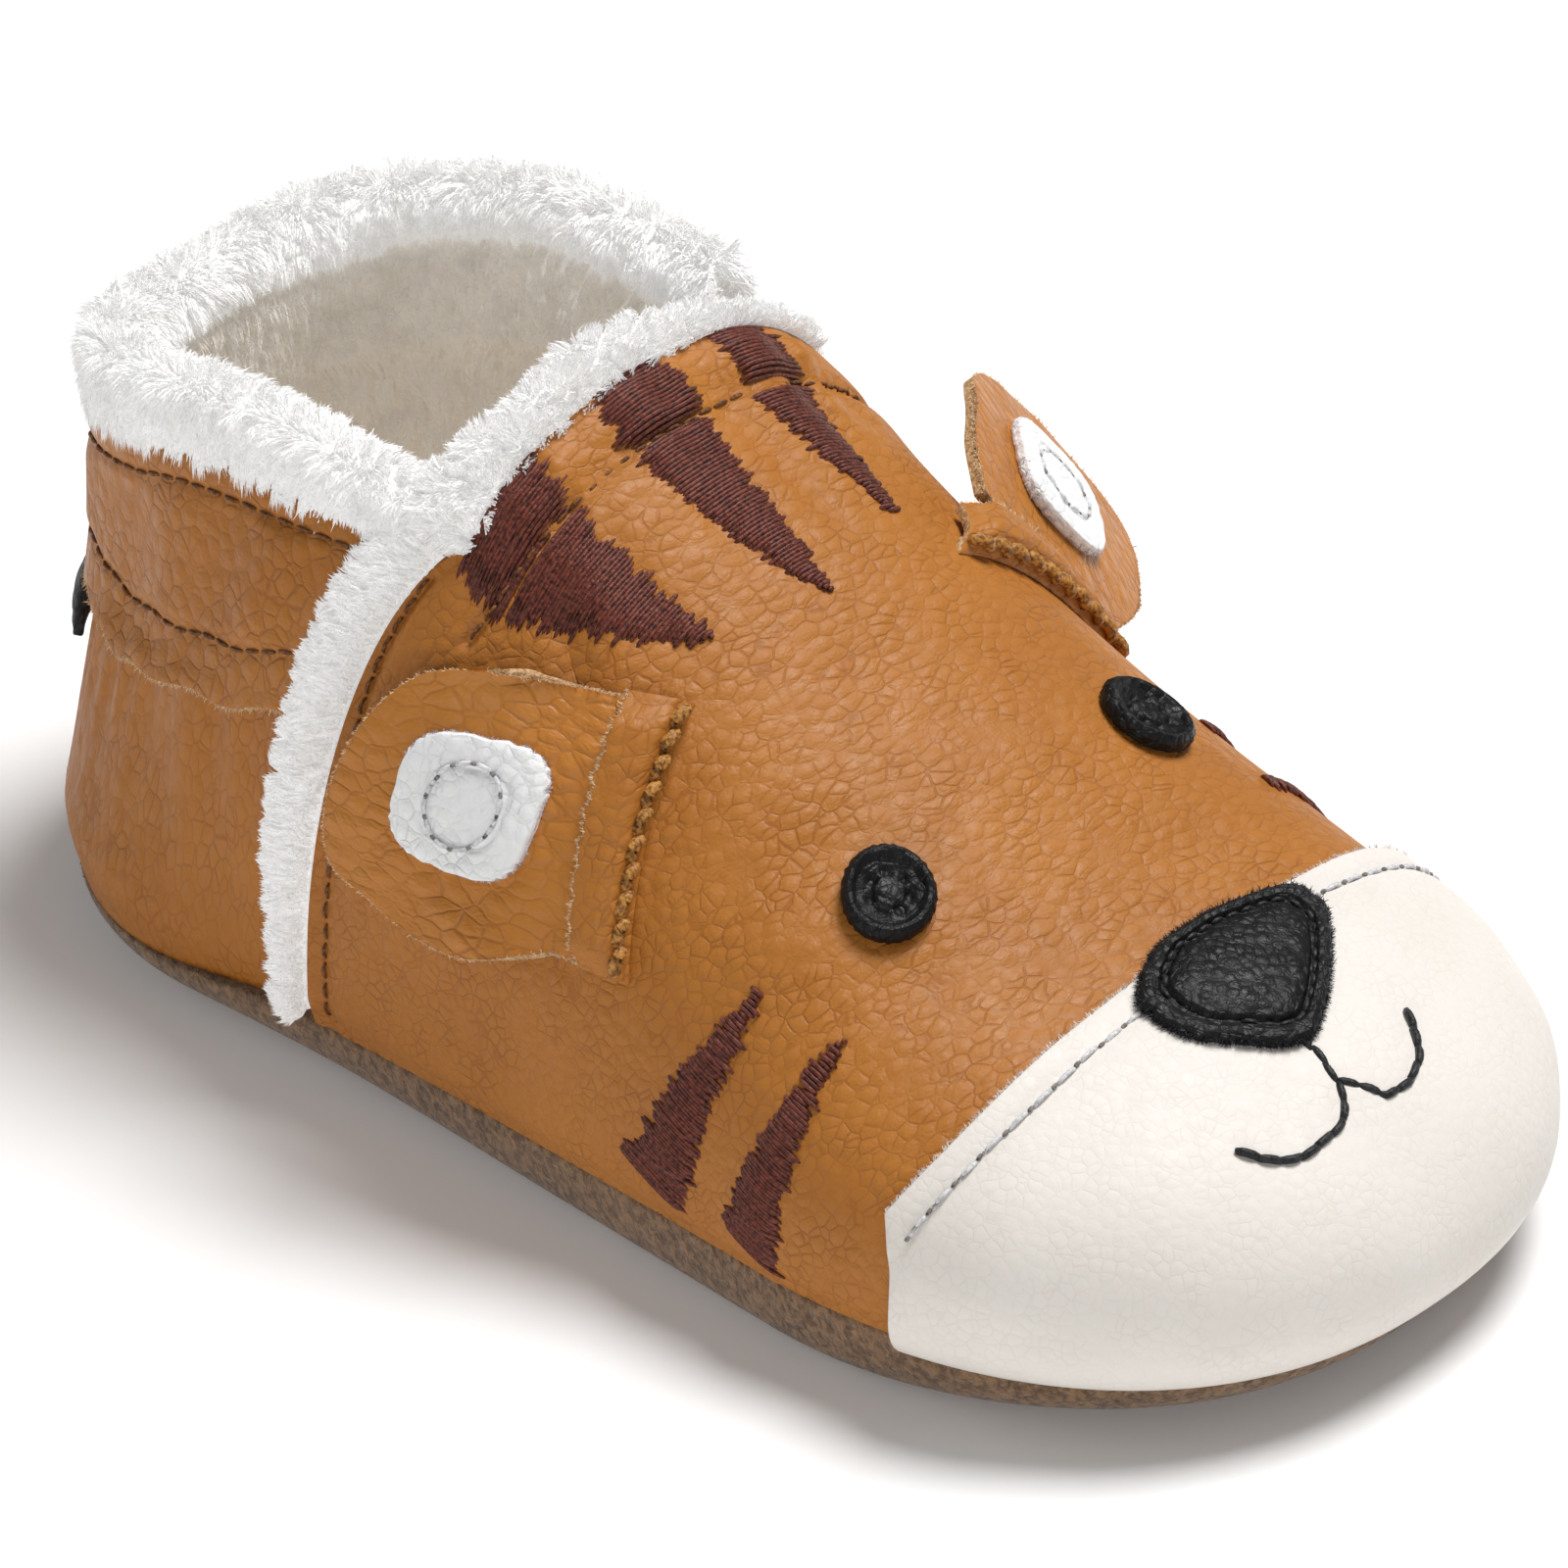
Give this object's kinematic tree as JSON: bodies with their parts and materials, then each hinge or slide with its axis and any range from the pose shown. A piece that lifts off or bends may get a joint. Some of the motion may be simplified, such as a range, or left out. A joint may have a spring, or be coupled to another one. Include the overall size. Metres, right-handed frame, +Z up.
{
  "type": "baby crawling shoe",
  "caption": "Soft leather baby crawling shoe with an animal face, flap ears, a fleece-lined collar and a suede sole; a pull-on shoe that stands on its sole.",
  "frame": {"origin": "on the floor under the middle of the shoe's length", "axes": "+X to the toe, +Y to the shoe's left, +Z up from the floor"},
  "size_m": [0.1369, 0.0771, 0.0614],
  "materials": {
    "tan_leather": "tumbled grain, low sheen",
    "cream_leather": "fine grain, low sheen",
    "black_leather": "smooth, low sheen",
    "white_leather": "fine grain, matt",
    "suede": "napped, matt",
    "fleece": "deep pile, matt"
  },
  "bodies": {
    "root": {"outsole": "suede", "insole": "fleece", "upper": "tan_leather", "toe_cap": "cream_leather", "collar_band": "tan_leather", "heel_label": "black_leather", "fleece_collar": "fleece", "fleece_throat": "fleece", "fleece_trim_left": "fleece", "fleece_trim_right": "fleece", "ear_left": "tan_leather", "ear_right": "tan_leather", "ear_patch_left": "white_leather", "ear_patch_right": "white_leather", "eye_left": "black_leather", "eye_right": "black_leather", "nose": "black_leather"}
  },
  "joints": []
}
